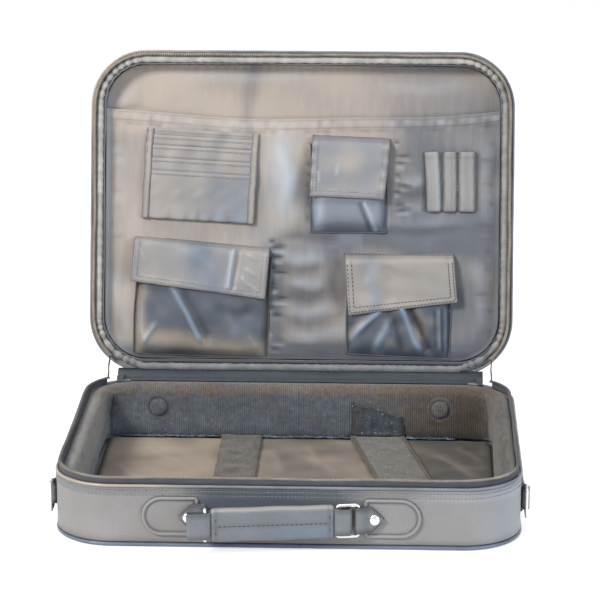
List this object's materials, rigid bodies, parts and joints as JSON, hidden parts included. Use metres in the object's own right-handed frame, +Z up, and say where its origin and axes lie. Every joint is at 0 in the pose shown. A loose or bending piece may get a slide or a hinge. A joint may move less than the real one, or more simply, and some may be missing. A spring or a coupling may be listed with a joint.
{
  "type": "laptop briefcase",
  "caption": "Soft black leatherette laptop briefcase open on its base: foam-lined base half, hinged lid with nylon organiser pockets, padded handle on wire rings, side rings.",
  "frame": {"origin": "middle of the flat underside of the base half, on the surface that it lies on", "axes": "+Z up; +X along the width, to the right seen from the handle side; -Y towards the handle side; the lid is hinged on the +Y side and stands open"},
  "size_m": [0.4258, 0.4567, 0.3655],
  "materials": {
    "base_panel": "smooth black leatherette with a fine grain",
    "base_band": "smooth black leatherette with a fine grain",
    "base_edge_piping": "leatherette piping",
    "base_rim_piping": "leatherette piping",
    "base_zip_tape": "woven polyester zip tape",
    "base_zip_coil": "nylon zip coil",
    "base_wall_padding": "ribbed knit over foam",
    "base_corner_padding": "ribbed knit over foam",
    "base_floor_panel": "brown-black nylon over board",
    "base_feet": "moulded feet",
    "base_foot_studs": "cloth covered washers",
    "handle_patch_left": "stitched leatherette",
    "handle_patch_right": "stitched leatherette",
    "handle_tab_left": "stitched leatherette",
    "handle_tab_right": "stitched leatherette",
    "handle_rivets": "nickel plated rivet",
    "ring_left": "nickel plated steel wire",
    "ring_right": "nickel plated steel wire",
    "handle": "stitched leatherette",
    "side_patch_left": "stitched leatherette",
    "side_patch_right": "stitched leatherette",
    "side_rivets": "nickel plated rivet",
    "side_ring_left": "nickel plated steel wire",
    "side_ring_right": "nickel plated steel wire",
    "strap_left": "brushed hook-and-loop webbing",
    "strap_right_root": "brushed hook-and-loop webbing",
    "strap_right": "brushed hook-and-loop webbing",
    "hinge_strip": "leatherette hinge strip",
    "zip_stay_left": "woven polyester zip tape",
    "zip_stay_right": "woven polyester zip tape",
    "zip_sliders": "black enamelled metal",
    "zip_pull_left": "black enamelled metal",
    "zip_pull_right": "black enamelled metal",
    "lid_panel": "smooth black leatherette with a fine grain",
    "lid_band": "smooth black leatherette with a fine grain",
    "lid_edge_piping": "leatherette piping",
    "lid_rim_piping": "leatherette piping",
    "lid_zip_tape": "woven polyester zip tape",
    "lid_zip_coil": "nylon zip coil",
    "lid_back_lining": "shiny black nylon lining",
    "lid_wall_lining": "shiny black nylon lining",
    "lid_corner_lining": "shiny black nylon lining",
    "lid_feet": "moulded feet",
    "document_pocket": "shiny black nylon lining",
    "card_organiser": "shiny black nylon",
    "pen_loops": "shiny black nylon",
    "wide_pocket": "shiny black nylon",
    "charger_pocket": "shiny black nylon",
    "phone_pocket": "shiny black nylon",
    "wide_flap": "shiny black nylon",
    "charger_flap": "shiny black nylon",
    "phone_flap": "shiny black nylon"
  },
  "bodies": {
    "base": {"base_panel": "base_panel", "base_band": "base_band", "base_edge_piping": "base_edge_piping", "base_rim_piping": "base_rim_piping", "base_zip_tape": "base_zip_tape", "base_zip_coil": "base_zip_coil", "base_wall_padding": "base_wall_padding", "base_corner_padding": "base_corner_padding", "base_floor_panel": "base_floor_panel", "base_feet": "base_feet", "base_foot_studs": "base_foot_studs", "handle_patch_left": "handle_patch_left", "handle_patch_right": "handle_patch_right", "handle_tab_left": "handle_tab_left", "handle_tab_right": "handle_tab_right", "handle_rivets": "handle_rivets", "side_patch_left": "side_patch_left", "side_patch_right": "side_patch_right", "side_rivets": "side_rivets", "strap_right_root": "strap_right_root", "hinge_strip": "hinge_strip", "zip_stay_left": "zip_stay_left", "zip_stay_right": "zip_stay_right", "zip_sliders": "zip_sliders"},
    "lid": {"lid_panel": "lid_panel", "lid_band": "lid_band", "lid_edge_piping": "lid_edge_piping", "lid_rim_piping": "lid_rim_piping", "lid_zip_tape": "lid_zip_tape", "lid_zip_coil": "lid_zip_coil", "lid_back_lining": "lid_back_lining", "lid_wall_lining": "lid_wall_lining", "lid_corner_lining": "lid_corner_lining", "lid_feet": "lid_feet", "document_pocket": "document_pocket", "card_organiser": "card_organiser", "pen_loops": "pen_loops", "wide_pocket": "wide_pocket", "charger_pocket": "charger_pocket", "phone_pocket": "phone_pocket"},
    "ring_right": {"ring_right": "ring_right"},
    "handle": {"handle": "handle"},
    "ring_left": {"ring_left": "ring_left"},
    "side_ring_left": {"side_ring_left": "side_ring_left"},
    "side_ring_right": {"side_ring_right": "side_ring_right"},
    "strap_left": {"strap_left": "strap_left"},
    "strap_right": {"strap_right": "strap_right"},
    "zip_pull_left": {"zip_pull_left": "zip_pull_left"},
    "zip_pull_right": {"zip_pull_right": "zip_pull_right"},
    "wide_flap": {"wide_flap": "wide_flap"},
    "charger_flap": {"charger_flap": "charger_flap"},
    "phone_flap": {"phone_flap": "phone_flap"}
  },
  "joints": [
    {"name": "lid_hinge", "type": "hinge", "parent": "base", "child": "lid", "pos_m": [0, 0.156, 0.064], "axis": [1, 0, 0], "range_deg": [0, 104], "deforming": ["hinge_strip", "zip_stay_left", "zip_stay_right"]},
    {"name": "ring_right_swing", "type": "hinge", "parent": "base", "child": "ring_right", "pos_m": [0.063, -0.162, 0.029], "axis": [0, 0, 1], "range_deg": [0, 69]},
    {"name": "handle_turn", "type": "hinge", "parent": "ring_right", "child": "handle", "pos_m": [0.04419, -0.16464, 0.029], "axis": [0, 0, 1], "range_deg": [-78, 0]},
    {"name": "ring_left_swing", "type": "hinge", "parent": "base", "child": "ring_left", "pos_m": [-0.071, -0.162, 0.029], "axis": [0, 0, 1], "range_deg": [0, 5.2]},
    {"name": "side_ring_left_swing", "type": "hinge", "parent": "base", "child": "side_ring_left", "pos_m": [-0.2094, -0.098, 0.029], "axis": [0, 0, -1], "range_deg": [0, 150]},
    {"name": "side_ring_right_swing", "type": "hinge", "parent": "base", "child": "side_ring_right", "pos_m": [0.2094, -0.098, 0.029], "axis": [0, 0, 1], "range_deg": [0, 150]},
    {"name": "strap_left_lift", "type": "hinge", "parent": "base", "child": "strap_left", "pos_m": [-0.055, 0.1333, 0.0082], "axis": [1, 0, 0], "range_deg": [-80, 0]},
    {"name": "strap_right_lift", "type": "hinge", "parent": "base", "child": "strap_right", "pos_m": [0.076, 0.1333, 0.0082], "axis": [1, 0, 0], "range_deg": [-80, 0]},
    {"name": "zip_pull_left_swing", "type": "hinge", "parent": "base", "child": "zip_pull_left", "pos_m": [-0.174, 0.1563, 0.0595], "axis": [1, 0, 0], "range_deg": [0, 45]},
    {"name": "zip_pull_right_swing", "type": "hinge", "parent": "base", "child": "zip_pull_right", "pos_m": [0.174, 0.1563, 0.0595], "axis": [1, 0, 0], "range_deg": [0, 45]},
    {"name": "wide_flap_lift", "type": "hinge", "parent": "lid", "child": "wide_flap", "pos_m": [-0.099, 0.20807, 0.18191], "axis": [0.9965, -0.0202, -0.0812], "range_deg": [-120, 0]},
    {"name": "charger_flap_lift", "type": "hinge", "parent": "lid", "child": "charger_flap", "pos_m": [0.095, 0.20565, 0.1722], "axis": [1, 0, 0], "range_deg": [-120, 0]},
    {"name": "phone_flap_lift", "type": "hinge", "parent": "lid", "child": "phone_flap", "pos_m": [0.048, 0.23347, 0.28379], "axis": [1, 0, 0], "range_deg": [-120, 0]}
  ],
  "couplings": [
    {"joint": "handle_turn", "follows": "ring_right_swing", "ratio": -1.1185},
    {"joint": "ring_left_swing", "follows": "ring_right_swing", "ratio": 0.07246}
  ]
}
